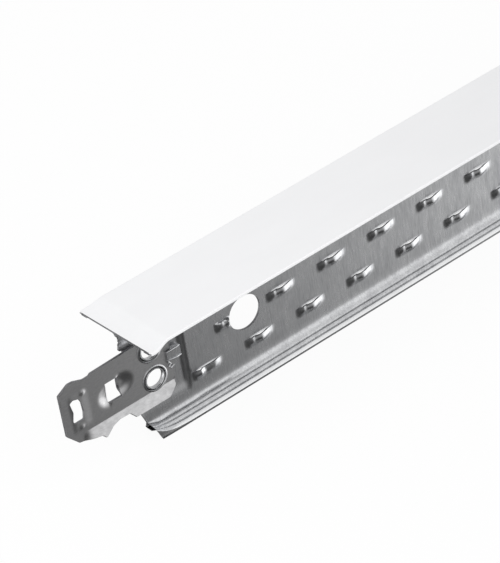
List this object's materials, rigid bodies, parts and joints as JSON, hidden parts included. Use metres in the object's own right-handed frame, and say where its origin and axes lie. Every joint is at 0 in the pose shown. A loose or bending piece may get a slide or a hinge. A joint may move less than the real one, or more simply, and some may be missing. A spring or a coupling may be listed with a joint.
{
  "type": "ceiling grid cross tee",
  "caption": "Suspended-ceiling cross tee: roll-formed steel T with hollow bulb, stitched web, white face cap with stepped ends, and stamped end clips.",
  "frame": {"origin": "under the middle of the tee, on the floor that its bulb stands on", "axes": "+X along the tee, +Z out of the white face, so the web hangs down from the face and the left clip lies on the -Y side"},
  "size_m": [0.6148, 0.024, 0.032],
  "materials": {
    "galvanised_strip": "galvanised, faintly streaked across the length",
    "white_paint": "smooth satin white coil coating",
    "clip_steel": "plain stamped steel"
  },
  "bodies": {
    "root": {"tee_profile": "galvanised_strip", "face_cap": "white_paint", "end_clip_left": "clip_steel", "end_clip_right": "clip_steel"}
  },
  "joints": []
}
